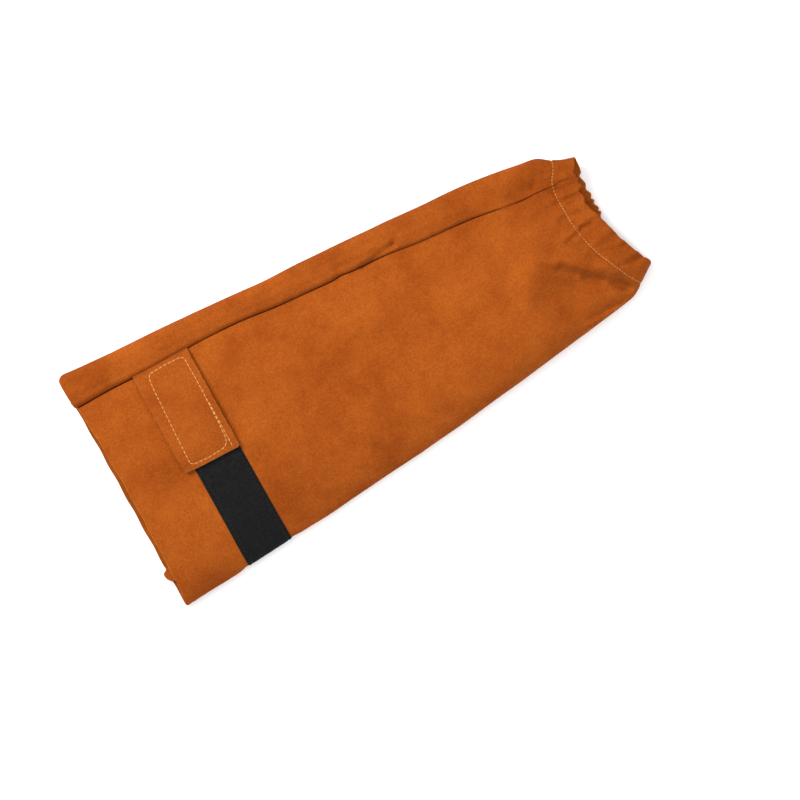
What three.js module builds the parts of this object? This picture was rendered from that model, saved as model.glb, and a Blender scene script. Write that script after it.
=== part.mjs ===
// Welding sleeve in split leather, lying flat and empty as it does when it is taken off.
// Two panels make a tapering tube: the ridge seam runs along the top, the second seam underneath.
// X runs from the wide mouth to the gathered cuff, Y towards the ridge seam and Z up from the table.
// The origin is on the table, under the middle of the sleeve.
import * as THREE from "three";

// Driving dimensions in millimetres
const SLEEVE_LENGTH = 447; // mouth edge to cuff edge, along the middle
const MOUTH_WIDTH = 214; // across the mouth, lying flat
const CUFF_WIDTH = 103; // across the gathered cuff, lying flat
const LIE_HEIGHT = 27; // highest crown of the sleeve as it lies
const LEATHER = 1.4; // thickness of the split leather
const CLEARANCE = 0.3; // gap between pieces that touch
const BEND_SLACK = 0.3; // inside radius where leather is turned right over
const SEAM_ALLOWANCE = 8; // leather turned in at each seam
const RIDGE_WIDTH = 27; // roll of leather beyond the ridge seam
const RIDGE_RISE = 7.6; // height of that roll's open bend, over a flat turn
const SECOND_SEAM_IN = 28; // second seam from the near edge, at the mouth
const SEAM_JOG = 5; // width in which the back panel comes down beside the second seam
const LIP_RUN = 2.5; // length in which the front panel rises beside the ridge seam
const EDGE_BEND = 1; // by how much the near edge bends further under than up
const FAR_BEND = 5; // inside radius of the far edge's underside, at the hem
const ELASTIC = 0.8; // room that the elastic takes inside the hem
const HEM_DEPTH = 23; // hem stitching to cuff edge
const HEM_STEP = 2; // length in which the hem reaches its thickness
const CUFF_SWEEP_NEAR = 20; // how far the cuff's near corner stands out past its middle
const CUFF_SWEEP_FAR = 6.5; // the same at its far corner
const GATHER_HEIGHT = 2.2; // height of the gathers at the cuff
const FOLD_WIDTH = 10; // half width of the soft folds near the cuff
const FOLD_HEIGHT = 3.2; // height of the soft folds near the cuff
const RUFFLE = 0.9; // how far the gathered edge stands in and out
const RUFFLE_COUNT = 23; // times that it does so in the round
const MOUTH_EDGE_RUN = 20; // length in which the mouth's uneven edge evens out
const ROLL_OUT = 2.5; // how far the roll stands out of the mouth
const UNDER_OUT = 1; // how far the underside does at its far side
const NUB_OUT = 4.5; // how far the second seam's end stands out of the mouth
const MOUTH_BOW = 1.2; // how far the front panel's edge stands back in the middle
const STRAP_FROM_MOUTH = 51; // mouth edge to the strap tab
const TAB_WIDTH = 50;
const TAB_LENGTH = 90; // ridge seam to the tab's free end
const TAB_TUCK = 1; // how far the tab's root reaches past the crease
const TAB_DROP = 4.5; // length in which the tab comes down to its root
const TAPE = 1.2; // thickness of the hook tape and of the loop tape
const BAND_WIDTH = 42;
const BAND_INSET = 7; // tab's edge to the band's edge, on the mouth side
const BAND_START = 7; // ridge seam to the end of the band under the tab
const PATCH_INSET_ACROSS = 6; // tab's edge to the patch's edge, on the mouth side
const PATCH_WIDTH = 40;
const PATCH_START = 4.5; // ridge seam to the patch
const PATCH_END_INSET = 2.5; // tab's free end to the patch
const BAND_SHOULDER = 9; // length in which the leather rises beside the band, at the near edge

// The tube seen from above, from mouth to cuff
// along: share of the sleeve length; taper: share of the way from mouth width to cuff width
// near: near edge as a share of the width there; ridge: share of the ridge width
const PLAN = [
  { along: 0.0, taper: 0.0, near: -0.5, ridge: 1.11 },
  { along: 0.1, taper: 0.056, near: -0.502, ridge: 0.98 },
  { along: 0.2, taper: 0.103, near: -0.5, ridge: 0.93 },
  { along: 0.3, taper: 0.155, near: -0.5, ridge: 0.84 },
  { along: 0.4, taper: 0.226, near: -0.502, ridge: 0.83 },
  { along: 0.5, taper: 0.273, near: -0.494, ridge: 0.95 },
  { along: 0.6, taper: 0.34, near: -0.489, ridge: 0.92 },
  { along: 0.715, taper: 0.434, near: -0.48, ridge: 1.01 },
  { along: 0.805, taper: 0.536, near: -0.466, ridge: 1.09 },
  { along: 0.885, taper: 0.65, near: -0.469, ridge: 0.97 },
  { along: 0.918, taper: 0.705, near: -0.468, ridge: 0.88 },
  { along: 0.949, taper: 0.833, near: -0.469, ridge: 0.65 },
  { along: 1.0, taper: 1.0, near: -0.447, ridge: 0.5 },
];

// The tube in cross-section, from mouth to cuff
// along: share of the sleeve length; rise: share of the ridge rise
// seat, crown and fold: shares of the lie height; lean: how far the crown leans to the near side
// lip: share of the ridge step that the front panel fills
const HEIGHTS = [
  { along: 0.0, rise: 1.0, seat: 0.3, crown: 0.8, fold: 0.37, lean: 0.75, lip: 0.0 },
  { along: 0.1, rise: 0.86, seat: 0.3, crown: 0.77, fold: 0.35, lean: 0.75, lip: 0.0 },
  { along: 0.2, rise: 0.8, seat: 0.3, crown: 0.74, fold: 0.33, lean: 0.75, lip: 0.0 },
  { along: 0.3, rise: 0.72, seat: 0.3, crown: 0.72, fold: 0.33, lean: 0.75, lip: 0.0 },
  { along: 0.4, rise: 0.72, seat: 0.3, crown: 0.72, fold: 0.33, lean: 0.78, lip: 0.0 },
  { along: 0.5, rise: 0.7, seat: 0.31, crown: 0.73, fold: 0.35, lean: 0.82, lip: 0.0 },
  { along: 0.6, rise: 0.68, seat: 0.34, crown: 0.76, fold: 0.37, lean: 0.9, lip: 0.0 },
  { along: 0.715, rise: 0.62, seat: 0.39, crown: 0.82, fold: 0.41, lean: 1.05, lip: 0.0 },
  { along: 0.805, rise: 0.56, seat: 0.45, crown: 0.88, fold: 0.46, lean: 1.25, lip: 0.0 },
  { along: 0.885, rise: 0.32, seat: 0.55, crown: 0.93, fold: 0.5, lean: 1.45, lip: 0.25 },
  { along: 0.918, rise: 0.16, seat: 0.61, crown: 0.93, fold: 0.52, lean: 1.5, lip: 0.5 },
  { along: 0.949, rise: 0.05, seat: 0.66, crown: 0.91, fold: 0.52, lean: 1.45, lip: 0.75 },
  { along: 1.0, rise: 0.0, seat: 0.72, crown: 0.88, fold: 0.52, lean: 1.3, lip: 0.8 },
];

// The gathers round the cuff
// around: folds in the whole round; height: share of the gather height
// reach: share of the sleeve length in which they die out; turn: start as a share of one fold
const GATHERS = [
  { around: 17, height: 0.55, reach: 0.07, turn: 0.1 },
  { around: 11, height: 0.45, reach: 0.13, turn: 0.62 },
  { around: 7, height: 0.5, reach: 0.22, turn: 0.35 },
];

// The soft folds on top, near the cuff, each along a straight line
// along, along2: its ends as shares of the sleeve length
// across, across2: its ends as shares of the width there, from the near edge
// width and height: shares of the fold width and the fold height, the height below 0 for a valley
const FOLDS = [
  { along: 0.85, across: 0.44, along2: 0.925, across2: 0.19, width: 1.1, height: 1.0 },
  { along: 0.925, across: 0.19, along2: 0.955, across2: 0.05, width: 0.9, height: 0.75 },
  { along: 0.86, across: 0.26, along2: 0.94, across2: 0.06, width: 0.9, height: -0.8 },
  { along: 0.945, across: 0.36, along2: 0.995, across2: 0.34, width: 0.6, height: -0.7 },
  { along: 0.875, across: 0.875, along2: 0.905, across2: 0.855, width: 0.6, height: -0.5 },
];

// Places in the round, as shares of it, counted from the ridge seam over the front panel
const ROUND = {
  nearEdge: 0.42,
  nearFloor: 0.45,
  secondSeam: 0.49,
  farFloor: 0.93,
  farEdge: 0.95,
  rollTop: 0.97,
};

// Shares that shape the forms
const SWEEP_STARTS = 0.67; // of the length, where the cuff's slant begins
const SWEEP_FULL = 0.94; // of the length, where it is whole
const SWEEP_MIDDLE = 0.66; // of the cuff's width from the near edge, its hindmost place
const SECOND_SEAM_TAPER = 0.52; // by which the second seam comes nearer to the edge at the cuff
const TIP_SHARE = 0.06; // of the front panel's top, which bends down to the near edge
const ROLL_BEND = 0.36; // of the ridge width, in which the roll bends over the far edge
const ROLL_BULGE = 0.03; // of the ridge width, by which the roll's top is crowned
const PULL_STARTS = 0.8; // of the front panel's top, where the band begins to pull the leather in
const PULL_FULL = 0.95; // of the top, where the leather lies deeper by the whole band
const PULL_ENDS = 0.75; // of the underside up to the second seam, where the band ends
const HEM_STARTS = 0.1; // of a panel's width beside a seam, in which the hem reaches its thickness
const GATHER_UNEVEN = 0.15; // of one fold, by which the gathers wander
const GATHER_WANDERS = 3; // times that they do so in the round
const GATHER_ASIDE = 0.7; // of the gathers' rise, at the two edges
const CLOSER_AT_ENDS = 0.25; // by how much the points across the top stand closer at its ends
const CLOSER_AT_ROOT = 1.5; // power by which a strip's points stand closer at its root

// Points across the parts of an outline, and stations along the parts of the sleeve
const STEPS = { allowance: 2, top: 22, tip: 4, edge: 4, inner: 4, bend: 4, jog: 4, roll: 4, curl: 6 };
const SPANS = { body: 4, gathered: 8, hem: 4 };

const TURN = Math.PI * 2;
const BEND = LEATHER + BEND_SLACK; // outer radius where the leather is turned right over
const HEM_THICKNESS = 2 * LEATHER + ELASTIC;

function smooth(t) {
  const s = Math.min(Math.max(t, 0), 1);
  return s * s * (3 - 2 * s);
}

function mix(a, b, t) {
  return a + (b - a) * t;
}

// A column of a table at a share of the length, along smooth curves through its rows
function columnAt(rows, key, along) {
  let i = 0;
  while (i < rows.length - 2 && along > rows[i + 1].along) {
    i += 1;
  }
  const slope = (k) => {
    const before = rows[Math.max(k - 1, 0)];
    const after = rows[Math.min(k + 1, rows.length - 1)];
    return (after[key] - before[key]) / (after.along - before.along);
  };
  const a = rows[i];
  const b = rows[i + 1];
  const span = b.along - a.along;
  const t = (along - a.along) / span;
  const t2 = t * t;
  const t3 = t2 * t;
  const ends = (2 * t3 - 3 * t2 + 1) * a[key] + (3 * t2 - 2 * t3) * b[key];
  return ends + span * ((t3 - 2 * t2 + t) * slope(i) + (t3 - t2) * slope(i + 1));
}

// The named places and heights of one cross-section
function sectionAt(x) {
  const along = x / SLEEVE_LENGTH;
  const plan = (key) => columnAt(PLAN, key, along);
  const share = (key) => columnAt(HEIGHTS, key, along);
  const taper = plan("taper");
  const width = mix(MOUTH_WIDTH, CUFF_WIDTH, taper);
  const near = plan("near") * width;
  const far = near + width;
  const ridge = plan("ridge") * RIDGE_WIDTH;
  const curl = LEATHER + BEND_SLACK + 0.5 * share("rise") * RIDGE_RISE;
  const seat = share("seat") * LIE_HEIGHT;
  return {
    x,
    near,
    far,
    width,
    ridge,
    curl,
    seat,
    crease: far - ridge,
    roll: seat + CLEARANCE + 2 * curl,
    crown: share("crown") * LIE_HEIGHT,
    edge: 0.5 * share("fold") * LIE_HEIGHT,
    lean: share("lean"),
    lip: share("lip"),
    secondSeam: near + SECOND_SEAM_IN * (1 - SECOND_SEAM_TAPER * taper),
  };
}

// Gathers: rise of the leather at a station and a place in the round
function gatherReach(row, x) {
  const run = row.reach * SLEEVE_LENGTH;
  return smooth((x - (SLEEVE_LENGTH - HEM_DEPTH - run)) / run);
}

function gatherAt(x, round) {
  let rise = 0;
  for (const row of GATHERS) {
    const uneven = GATHER_UNEVEN * Math.sin(TURN * GATHER_WANDERS * round);
    const wave = Math.cos(TURN * (row.around * round + row.turn + uneven));
    rise += row.height * GATHER_HEIGHT * gatherReach(row, x) * wave;
  }
  return rise;
}

// Under the sleeve the gathers only lift the leather off the table
function gatherUnder(x, round) {
  let most = 0;
  for (const row of GATHERS) {
    most += row.height * GATHER_HEIGHT * gatherReach(row, x);
  }
  return 0.5 * (gatherAt(x, round) + most);
}

// Soft folds: their lines in millimetres, and the rise of the top at a station and a place across
const foldLines = FOLDS.map((row) => {
  const a = sectionAt(row.along * SLEEVE_LENGTH);
  const b = sectionAt(row.along2 * SLEEVE_LENGTH);
  const ay = a.near + row.across * a.width;
  const by = b.near + row.across2 * b.width;
  const width = row.width * FOLD_WIDTH;
  const height = row.height * FOLD_HEIGHT;
  return { x: a.x, y: ay, dx: b.x - a.x, dy: by - ay, width, height };
});

function foldsAt(x, y) {
  let rise = 0;
  for (const line of foldLines) {
    const long = Math.hypot(line.dx, line.dy);
    const t = ((x - line.x) * line.dx + (y - line.y) * line.dy) / (long * long);
    const beyond = Math.max(-t, t - 1, 0) * long;
    const aside = ((x - line.x) * line.dy - (y - line.y) * line.dx) / long;
    rise += line.height * Math.exp(-(aside * aside + beyond * beyond) / (line.width * line.width));
  }
  return rise;
}

// Slant of the cuff: the corners stand out further than its middle
function sweepAt(x, y) {
  const end = sectionAt(SLEEVE_LENGTH);
  const middle = end.near + SWEEP_MIDDLE * end.width;
  const fade = smooth((x / SLEEVE_LENGTH - SWEEP_STARTS) / (SWEEP_FULL - SWEEP_STARTS));
  const corner = y < middle ? end.near : end.far;
  const most = y < middle ? CUFF_SWEEP_NEAR : CUFF_SWEEP_FAR;
  const share = (y - middle) / (corner - middle);
  return most * share * share * fade;
}

// Height of the front panel's top between the crease (v = 0) and the near edge (v = 1)
function frontTop(s, v) {
  const fromCrease = v * (s.crease - s.near);
  const filled = s.lip * (s.roll - s.seat) * (1 - Math.exp(-fromCrease / LIP_RUN));
  const start = s.seat + filled;
  const down = Math.sqrt(Math.max(1 - v, 0));
  const crownAt = s.lean / (s.lean + 0.5);
  const crownDown = Math.sqrt(1 - crownAt);
  const swell = (s.crown - s.edge - (s.seat - s.edge) * crownDown) / (crownAt ** s.lean * crownDown);
  return s.edge + (start - s.edge) * down + swell * v ** s.lean * down;
}

// How far the loop band pulls the leather in at the near edge, so that the two lie flush
function bandPull(x) {
  const start = STRAP_FROM_MOUTH + BAND_INSET;
  const end = start + BAND_WIDTH;
  const outside = Math.max(start - x, x - end, 0);
  return (TAPE + CLEARANCE) * (1 - smooth(outside / BAND_SHOULDER));
}

// A point of a section's outline: round is its place in the round, under is 0 on top and 1 beneath,
// stack marks leather that moves with a seam, hem its share of the hem's extra thickness,
// rim how far its edge stands out of the mouth, pull its share of the band's pull
function outlinePoint(y, z, marks) {
  return { y, z, under: 0, stack: false, hem: 0, rim: 0, pull: 0, normal: null, ...marks };
}

// Outline of the front panel, from its allowance in the ridge seam to that in the second seam
function frontOutline(x) {
  const s = sectionAt(x);
  const points = [];
  const add = (y, z, marks) => points.push(outlinePoint(y, z, marks));
  for (let i = 0; i <= STEPS.allowance; i += 1) {
    const y = s.crease + SEAM_ALLOWANCE * (1 - i / STEPS.allowance);
    add(y, s.seat, { round: 0, stack: true, normal: [0, 1] });
  }
  for (let i = 1; i <= STEPS.top; i += 1) {
    const even = i / STEPS.top;
    const v = (1 - TIP_SHARE) * mix(even, smooth(even), CLOSER_AT_ENDS);
    const rim = MOUTH_BOW * Math.sin(Math.PI * v);
    const pull = smooth((v - PULL_STARTS) / (PULL_FULL - PULL_STARTS));
    const marks = { round: ROUND.nearEdge * v, hem: smooth(v / HEM_STARTS), rim, pull };
    add(mix(s.crease, s.near, v), frontTop(s, v), marks);
  }
  for (let i = 1; i <= STEPS.tip; i += 1) {
    const left = 1 - i / STEPS.tip;
    const v = 1 - TIP_SHARE * left * left;
    add(mix(s.crease, s.near, v), frontTop(s, v), { round: ROUND.nearEdge * v, hem: 1, pull: 1 });
  }
  const reach = s.edge + EDGE_BEND;
  for (let i = 1; i <= STEPS.edge; i += 1) {
    const t = i / STEPS.edge;
    const angle = (Math.PI / 2) * t;
    const y = s.near + reach * (1 - Math.cos(angle));
    const round = mix(ROUND.nearEdge, ROUND.nearFloor, t);
    add(y, s.edge * (1 - Math.sin(angle)), { round, under: t, hem: 1, pull: 1 });
  }
  const floorEnd = s.secondSeam - BEND;
  for (let i = 1; i < STEPS.inner; i += 1) {
    const t = i / STEPS.inner;
    const round = mix(ROUND.nearFloor, ROUND.secondSeam, t);
    const pull = 1 - smooth((t - PULL_ENDS) / (1 - PULL_ENDS));
    add(mix(s.near + reach, floorEnd, t), 0, { round, under: 1, hem: 1 - t, pull });
  }
  const seam = { round: ROUND.secondSeam, under: 1, stack: true };
  for (let i = 0; i <= STEPS.bend; i += 1) {
    const t = i / STEPS.bend;
    const angle = Math.PI * (t - 0.5);
    const normal = [Math.cos(angle), Math.sin(angle)];
    const rim = -NUB_OUT * smooth(t);
    add(floorEnd + BEND * normal[0], BEND * (1 + normal[1]), { ...seam, rim, normal });
  }
  for (let i = 1; i <= STEPS.allowance; i += 1) {
    const t = i / STEPS.allowance;
    const y = mix(floorEnd, s.secondSeam - SEAM_ALLOWANCE, t);
    add(y, 2 * BEND, { ...seam, rim: -NUB_OUT * (1 - t), normal: [0, 1] });
  }
  return points;
}

// Outline of the back panel, from its allowance in the second seam to that in the ridge seam
function backOutline(x) {
  const s = sectionAt(x);
  const points = [];
  const add = (y, z, marks) => points.push(outlinePoint(y, z, marks));
  const top = 2 * BEND + CLEARANCE;
  const jogStart = s.secondSeam - 0.5 * BEND;
  const seam = { round: ROUND.secondSeam, under: 1, stack: true };
  for (let i = 0; i <= STEPS.allowance; i += 1) {
    const t = i / STEPS.allowance;
    const y = mix(s.secondSeam - SEAM_ALLOWANCE, jogStart, t);
    add(y, top, { ...seam, rim: -NUB_OUT * t, normal: [0, -1] });
  }
  for (let i = 1; i <= STEPS.jog; i += 1) {
    const t = i / STEPS.jog;
    add(jogStart + SEAM_JOG * t, top * (1 - smooth(t)), { ...seam, rim: -NUB_OUT * (1 - t) });
  }
  const lowReach = HEM_THICKNESS + FAR_BEND;
  const floorEnd = s.far - lowReach;
  for (let i = 1; i <= STEPS.top; i += 1) {
    const t = i / STEPS.top;
    const round = mix(ROUND.secondSeam, ROUND.farFloor, t);
    const hem = smooth(t / HEM_STARTS);
    add(mix(jogStart + SEAM_JOG, floorEnd, t), 0, { round, under: 1, hem, rim: -UNDER_OUT * t });
  }
  const half = 0.5 * s.roll;
  for (let i = 1; i <= STEPS.edge; i += 1) {
    const t = i / STEPS.edge;
    const angle = (Math.PI / 2) * t;
    const round = mix(ROUND.farFloor, ROUND.farEdge, t);
    const marks = { round, under: 1 - t, hem: 1 - t, rim: -mix(UNDER_OUT, ROLL_OUT, t) };
    add(floorEnd + lowReach * Math.sin(angle), half * (1 - Math.cos(angle)), marks);
  }
  const rollReach = ROLL_BEND * s.ridge;
  for (let i = 1; i <= STEPS.edge; i += 1) {
    const t = i / STEPS.edge;
    const angle = (Math.PI / 2) * t;
    const round = mix(ROUND.farEdge, ROUND.rollTop, t);
    add(s.far - rollReach * (1 - Math.cos(angle)), half * (1 + Math.sin(angle)), { round, rim: -ROLL_OUT });
  }
  const curlStart = s.crease + s.curl;
  for (let i = 1; i < STEPS.roll; i += 1) {
    const t = i / STEPS.roll;
    const bulge = ROLL_BULGE * s.ridge * Math.sin(Math.PI * t) ** 2;
    const round = mix(ROUND.rollTop, 1, t);
    add(mix(s.far - rollReach, curlStart, t), s.roll + bulge, { round, rim: -ROLL_OUT });
  }
  for (let i = 0; i <= STEPS.curl; i += 1) {
    const t = i / STEPS.curl;
    const angle = Math.PI * (0.5 + t);
    const normal = [Math.cos(angle), Math.sin(angle)];
    const marks = { round: 1, stack: true, rim: -ROLL_OUT * (1 - t), normal };
    add(curlStart + s.curl * normal[0], s.roll - s.curl * (1 - normal[1]), marks);
  }
  for (let i = 1; i <= STEPS.allowance; i += 1) {
    const y = mix(curlStart, s.crease + SEAM_ALLOWANCE, i / STEPS.allowance);
    add(y, s.seat + CLEARANCE, { round: 1, stack: true, normal: [0, -1] });
  }
  return points;
}

// Outward normals along an outline, where a point has none of its own
function outlineNormals(points) {
  return points.map((point, i) => {
    if (point.normal) {
      return point.normal;
    }
    const before = points[Math.max(i - 1, 0)];
    const after = points[Math.min(i + 1, points.length - 1)];
    const dy = after.y - before.y;
    const dz = after.z - before.z;
    const long = Math.hypot(dy, dz);
    return [dz / long, -dy / long];
  });
}

// The outline with its gathers, folds and the band's pull, and with its normals
function dressedOutline(outline, x) {
  const points = outline(x);
  const flat = outlineNormals(points);
  const moved = points.map((point, i) => {
    const rise = gatherAt(x, point.round);
    const lift = mix(rise + foldsAt(x, point.y), gatherUnder(x, point.round), point.under);
    const aside = point.stack ? 0 : GATHER_ASIDE * rise * flat[i][0];
    const pull = bandPull(x) * point.pull;
    return { ...point, y: point.y + aside - pull * flat[i][0], z: point.z + lift - pull * flat[i][1] };
  });
  const normals = outlineNormals(moved);
  return moved.map((point, i) => ({ ...point, normal: normals[i] }));
}

// Place along the sleeve of an outline point at station x
function stationPlace(x, point) {
  const mouth = point.rim * (1 - smooth(x / MOUTH_EDGE_RUN));
  const fromEnd = (SLEEVE_LENGTH - x) / HEM_DEPTH;
  const ruffle = RUFFLE * Math.max(1 - fromEnd, 0) * Math.cos(TURN * RUFFLE_COUNT * point.round);
  return x + sweepAt(x, point.y) + mouth + ruffle;
}

// A closed sheet from rows of pairs of points, each pair an outer and an inner one
function sheetGeometry(rows) {
  const across = rows[0].length;
  const positions = [];
  for (const row of rows) {
    for (const pair of row) {
      positions.push(...pair.outer, ...pair.inner);
    }
  }
  const outer = (i, j) => 2 * (i * across + j);
  const inner = (i, j) => outer(i, j) + 1;
  const index = [];
  const quad = (a, b, c, d) => index.push(a, b, c, a, c, d);
  for (let i = 0; i < rows.length - 1; i += 1) {
    for (let j = 0; j < across - 1; j += 1) {
      quad(outer(i, j), outer(i, j + 1), outer(i + 1, j + 1), outer(i + 1, j));
      quad(inner(i, j), inner(i + 1, j), inner(i + 1, j + 1), inner(i, j + 1));
    }
    quad(outer(i, 0), outer(i + 1, 0), inner(i + 1, 0), inner(i, 0));
    quad(outer(i, across - 1), inner(i, across - 1), inner(i + 1, across - 1), outer(i + 1, across - 1));
  }
  const last = rows.length - 1;
  for (let j = 0; j < across - 1; j += 1) {
    quad(outer(0, j), inner(0, j), inner(0, j + 1), outer(0, j + 1));
    quad(outer(last, j), outer(last, j + 1), inner(last, j + 1), inner(last, j));
  }
  const geometry = new THREE.BufferGeometry();
  geometry.setAttribute("position", new THREE.Float32BufferAttribute(positions, 3));
  geometry.setIndex(index);
  geometry.computeVertexNormals();
  return geometry;
}

// Stations along the sleeve: wide apart in the body, close at the band's edges and at the cuff
function stations() {
  const bandStart = STRAP_FROM_MOUTH + BAND_INSET;
  const bandEnd = bandStart + BAND_WIDTH;
  const list = [0, MOUTH_EDGE_RUN, bandStart - BAND_SHOULDER, bandStart, 0.5 * (bandStart + bandEnd)];
  list.push(bandEnd, bandEnd + BAND_SHOULDER);
  const hemStart = SLEEVE_LENGTH - HEM_DEPTH;
  const cuffStart = hemStart - GATHERS[GATHERS.length - 1].reach * SLEEVE_LENGTH;
  const spans = [
    { to: cuffStart, steps: SPANS.body },
    { to: hemStart, steps: SPANS.gathered },
    { to: hemStart + HEM_STEP, steps: 1 },
    { to: SLEEVE_LENGTH, steps: SPANS.hem },
  ];
  for (const span of spans) {
    const from = list[list.length - 1];
    for (let i = 1; i <= span.steps; i += 1) {
      list.push(mix(from, span.to, i / span.steps));
    }
  }
  return list;
}

function panelGeometry(outline) {
  const rows = stations().map((x) => {
    const inHem = smooth((x - (SLEEVE_LENGTH - HEM_DEPTH)) / HEM_STEP);
    return dressedOutline(outline, x).map((point) => {
      const thick = mix(LEATHER, HEM_THICKNESS, inHem * point.hem);
      const place = stationPlace(x, point);
      const inY = point.y - thick * point.normal[0];
      const inZ = point.z - thick * point.normal[1];
      return { outer: [place, point.y, point.z], inner: [place, inY, inZ] };
    });
  });
  return sheetGeometry(rows);
}

// The loop band lies on the front panel, from under the tab round the near edge to the underside
function bandGeometry() {
  const start = STRAP_FROM_MOUTH + BAND_INSET;
  const rows = [0, 0.5, 1].map((share) => {
    const x = start + share * BAND_WIDTH;
    const s = sectionAt(x);
    const kept = dressedOutline(frontOutline, x).filter((point) => {
      const onTop = point.under === 0 && !point.stack && point.y < s.crease - BAND_START;
      const beneath = point.under > 0 && !point.stack && point.pull === 1;
      return onTop || beneath;
    });
    return kept.map((point) => {
      const at = (offset) => [x, point.y + offset * point.normal[0], point.z + offset * point.normal[1]];
      return { outer: at(CLEARANCE + TAPE), inner: at(CLEARANCE) };
    });
  });
  return sheetGeometry(rows);
}

// A strip over the front panel: from and to are distances from the crease
// lift gives the height of its underside over the panel
function stripGeometry(start, width, from, to, steps, thick, lift) {
  const rows = [0, 0.5, 1].map((share) => {
    const x = start + share * width;
    const s = sectionAt(x);
    const points = [];
    for (let i = 0; i <= steps; i += 1) {
      const distance = mix(from, to, (i / steps) ** CLOSER_AT_ROOT);
      const v = Math.max(distance, 0) / (s.crease - s.near);
      const z = frontTop(s, v) + lift(distance);
      points.push(outlinePoint(s.crease - distance, z, {}));
    }
    const normals = outlineNormals(points);
    return points.map((point, i) => {
      const outer = [x, point.y + thick * normals[i][0], point.z + thick * normals[i][1]];
      return { outer, inner: [x, point.y, point.z] };
    });
  });
  return sheetGeometry(rows);
}

function patchGeometry() {
  const start = STRAP_FROM_MOUTH + PATCH_INSET_ACROSS;
  const lift = () => CLEARANCE + TAPE + CLEARANCE;
  return stripGeometry(start, PATCH_WIDTH, PATCH_START, TAB_LENGTH - PATCH_END_INSET, STEPS.top, TAPE, lift);
}

function tabGeometry() {
  const stack = 2 * (TAPE + CLEARANCE);
  const lift = (distance) => CLEARANCE + stack * smooth((distance + 0.5 * TAB_TUCK) / TAB_DROP);
  return stripGeometry(STRAP_FROM_MOUTH, TAB_WIDTH, -TAB_TUCK, TAB_LENGTH, STEPS.top, LEATHER, lift);
}

// Finishes
const suede = (colour) => new THREE.MeshStandardMaterial({ color: colour, roughness: 0.95, metalness: 0 });
const tape = (colour) => new THREE.MeshStandardMaterial({ color: colour, roughness: 0.9, metalness: 0 });

function piece(name, geometry, material) {
  const mesh = new THREE.Mesh(geometry, material);
  mesh.name = name;
  return mesh;
}

const group = new THREE.Group();
group.add(piece("front_panel", panelGeometry(frontOutline), suede(0xbd5e1f)));
group.add(piece("back_panel", panelGeometry(backOutline), suede(0xb0551a)));
group.add(piece("loop_band", bandGeometry(), tape(0x242424)));
group.add(piece("hook_patch", patchGeometry(), tape(0x1c1c1c)));
group.add(piece("strap_tab", tabGeometry(), suede(0xb75a1c)));

const box = new THREE.Box3().setFromObject(group);
const middle = box.getCenter(new THREE.Vector3());
group.position.set(-middle.x, -middle.y, -box.min.z);

export default group;
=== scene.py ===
import math

import bpy
import numpy as np
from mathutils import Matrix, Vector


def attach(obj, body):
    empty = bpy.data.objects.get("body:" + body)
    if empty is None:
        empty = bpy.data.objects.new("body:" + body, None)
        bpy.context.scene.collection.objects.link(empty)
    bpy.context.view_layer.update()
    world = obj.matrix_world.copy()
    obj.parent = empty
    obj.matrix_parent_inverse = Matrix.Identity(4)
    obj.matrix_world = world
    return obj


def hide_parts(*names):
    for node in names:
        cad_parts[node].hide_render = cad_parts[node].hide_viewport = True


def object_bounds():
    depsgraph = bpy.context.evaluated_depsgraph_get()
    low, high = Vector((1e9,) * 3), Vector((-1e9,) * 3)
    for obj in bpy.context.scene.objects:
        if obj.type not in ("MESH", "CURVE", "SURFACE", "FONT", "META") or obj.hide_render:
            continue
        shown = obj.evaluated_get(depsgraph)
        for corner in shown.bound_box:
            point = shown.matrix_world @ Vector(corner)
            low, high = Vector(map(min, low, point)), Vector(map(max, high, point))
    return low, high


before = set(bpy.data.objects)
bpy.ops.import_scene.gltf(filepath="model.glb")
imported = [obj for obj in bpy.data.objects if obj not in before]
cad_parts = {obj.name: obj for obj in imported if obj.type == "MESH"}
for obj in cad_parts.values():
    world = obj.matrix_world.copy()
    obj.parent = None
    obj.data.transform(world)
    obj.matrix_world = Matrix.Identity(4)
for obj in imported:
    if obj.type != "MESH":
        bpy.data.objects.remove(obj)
cad_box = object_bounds()

# Camera: straight above the table, turned so that the sleeve runs up to the right.
# The light is soft: a panel beyond the ridge seam on the mouth's side, and a pale room.
scene = bpy.context.scene
scene.view_settings.view_transform = "Standard"

CAMERA_HEIGHT = 3.0
VIEW_CENTRE = (0.0025, -0.0445)  # the spot on the table in the middle of the picture
SEEN_WIDTH = 0.6508  # width of table in the picture, at the next height
SEEN_HEIGHT = 0.012  # half the sleeve's height
SENSOR = 36
SLEEVE_TURN = math.radians(29)
bpy.ops.object.camera_add(location=(*VIEW_CENTRE, CAMERA_HEIGHT), rotation=(0, 0, -SLEEVE_TURN))
camera = bpy.context.object
camera.data.sensor_width = SENSOR
camera.data.lens = SENSOR * (CAMERA_HEIGHT - SEEN_HEIGHT) / SEEN_WIDTH
scene.camera = camera


def aim_light(name, place, power, width):
    """A square panel of light that faces the sleeve: metres, watts and metres"""
    bpy.ops.object.light_add(type="AREA", location=place)
    light = bpy.context.object
    light.name = name
    light.data.energy = power
    light.data.size = width
    light.rotation_euler = (-light.location).to_track_quat("-Z", "Y").to_euler()


aim_light("window_panel", (-0.9, 1.6, 1.8), 78, 1.0)
aim_light("room_panel", (0.5, -1.3, 1.9), 14, 1.4)
aim_light("ceiling_panel", (0.1, 0.1, 2.6), 22, 2.2)

ROOM_LIGHT = 0.72
world = bpy.data.worlds.new("pale_room")
world.use_nodes = True
room = world.node_tree.nodes["Background"]
room.inputs["Color"].default_value = (1, 1, 1, 1)
room.inputs["Strength"].default_value = ROOM_LIGHT
scene.world = world


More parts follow.
